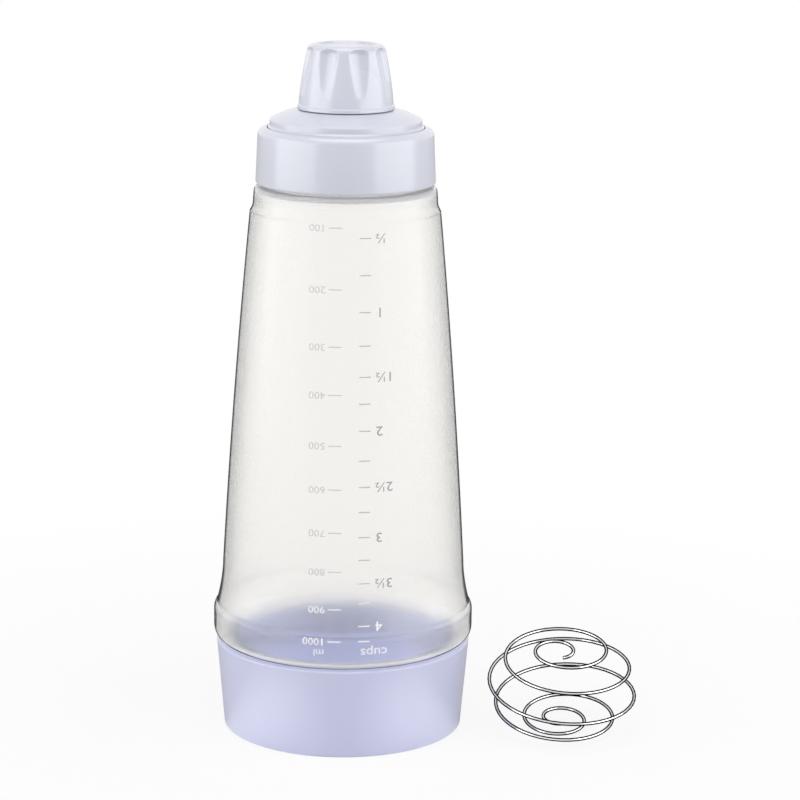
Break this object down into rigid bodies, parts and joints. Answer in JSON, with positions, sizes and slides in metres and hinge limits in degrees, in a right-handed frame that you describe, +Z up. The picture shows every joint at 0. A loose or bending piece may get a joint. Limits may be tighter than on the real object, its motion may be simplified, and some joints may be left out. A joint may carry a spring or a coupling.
{
  "type": "batter shaker bottle",
  "caption": "Tapered clear bottle with a screw base cup, a screw collar over a pouring dome, a silicone nozzle under a fluted screw cap, and a loose wire whisk ball.",
  "frame": {"origin": "centre of the base cup's flat underside, on the bottle's axis", "axes": "+Z up the bottle's axis from foot to cap; -Y towards the side that carries the volume scale; +X towards the loose whisk ball"},
  "size_m": [0.1695, 0.1036, 0.2728],
  "materials": {
    "clear_shell": "clear, smooth and glossy",
    "lavender_base": "opaque lavender, soft gloss",
    "lavender_lid": "opaque pale lavender, soft gloss",
    "silicone": "translucent white, satin",
    "steel_wire": "polished stainless wire"
  },
  "bodies": {
    "bottle": {"bottle_shell": "clear_shell"},
    "spout_insert": {"spout_dome": "lavender_lid", "nozzle": "silicone", "neck_seal": "silicone"},
    "collar": {"collar": "lavender_lid"},
    "cap_liner": {"cap_liner": "silicone"},
    "nozzle_cap": {"nozzle_cap": "lavender_lid"},
    "base_seal": {"base_seal": "silicone"},
    "base_cup": {"base_cup": "lavender_base"},
    "whisk": {"whisk_ball": "steel_wire"}
  },
  "joints": [
    {"name": "collar_lift", "type": "slide", "parent": "bottle", "child": "spout_insert", "axis": [0, 0, 1], "range_m": [0, 0.02]},
    {"name": "collar_turn", "type": "hinge", "parent": "spout_insert", "child": "collar", "pos_m": [0, 0, 0.219], "axis": [0, 0, 1], "range_deg": [0, 720]},
    {"name": "cap_lift", "type": "slide", "parent": "spout_insert", "child": "cap_liner", "axis": [0, 0, 1], "range_m": [0, 0.024]},
    {"name": "cap_turn", "type": "hinge", "parent": "cap_liner", "child": "nozzle_cap", "pos_m": [0, 0, 0.2479], "axis": [0, 0, 1], "range_deg": [0, 720]},
    {"name": "base_drop", "type": "slide", "parent": "bottle", "child": "base_seal", "axis": [0, 0, -1], "range_m": [0, 0.02]},
    {"name": "base_turn", "type": "hinge", "parent": "base_seal", "child": "base_cup", "pos_m": [0, 0, 0], "axis": [0, 0, -1], "range_deg": [0, 720]},
    {"name": "whisk_lift", "type": "slide", "parent": "bottle", "child": "whisk", "axis": [0, 0, 1], "range_m": [0, 0.28]}
  ],
  "couplings": [
    {"joint": "collar_lift", "follows": "collar_turn", "m_per_rad": 0.0015915},
    {"joint": "cap_lift", "follows": "cap_turn", "m_per_rad": 0.0019098},
    {"joint": "base_drop", "follows": "base_turn", "m_per_rad": 0.0015915}
  ]
}
